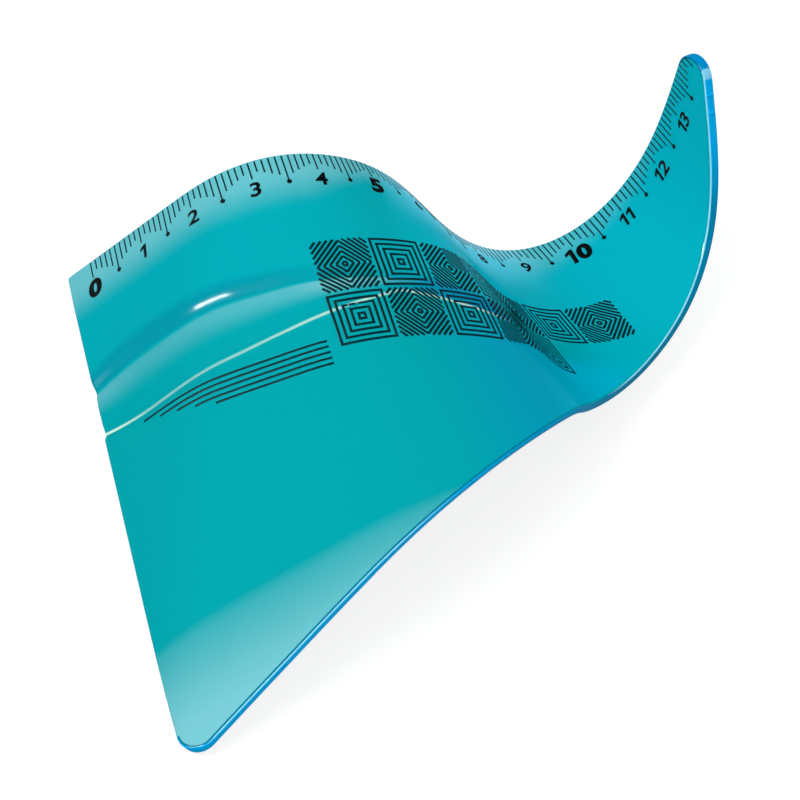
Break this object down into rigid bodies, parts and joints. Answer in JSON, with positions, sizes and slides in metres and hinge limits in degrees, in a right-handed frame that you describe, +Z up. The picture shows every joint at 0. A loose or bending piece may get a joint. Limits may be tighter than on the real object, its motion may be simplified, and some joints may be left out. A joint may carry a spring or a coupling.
{
  "type": "flexible set square",
  "caption": "Translucent flexible 30/60/90 triangle ruler, bent into an S, with a centimetre scale along its longer leg and a tapered grip channel.",
  "frame": {"origin": "middle of the bounding box, on the table that the bent sheet rests on", "axes": "+X from the rounded 60 degree tip to the sharp 30 degree tip, -Y the side that the long slanting edge faces, +Z up, the way the printed side faces"},
  "size_m": [0.1384, 0.0816, 0.038],
  "materials": {
    "tinted_plastic": "polished translucent blue-green flexible plastic",
    "print_ink": "black printing ink"
  },
  "bodies": {
    "corner_end": {"sheet_corner_end": "tinted_plastic"},
    "crest": {"sheet_crest": "tinted_plastic"},
    "trough": {"sheet_trough": "tinted_plastic"},
    "sharp_tip": {"sheet_sharp_tip": "tinted_plastic"}
  },
  "joints": [
    {"name": "crest_flex", "type": "hinge", "parent": "corner_end", "child": "crest", "pos_m": [-0.01144, -0.00141, 0.02426], "axis": [-0.6676, -0.7368, -0.107], "range_deg": [-45, 45], "stiffness_Nm_per_rad": 0.5},
    {"name": "flank_flex", "type": "hinge", "parent": "crest", "child": "trough", "pos_m": [0.018, -0.01406, 0.02093], "axis": [-0.3581, -0.9305, -0.0767], "range_deg": [-45, 45], "stiffness_Nm_per_rad": 0.4},
    {"name": "trough_flex", "type": "hinge", "parent": "trough", "child": "sharp_tip", "pos_m": [0.04422, -0.02798, 0.00459], "axis": [-0.5177, -0.823, 0.2336], "range_deg": [-45, 45], "stiffness_Nm_per_rad": 0.25}
  ]
}
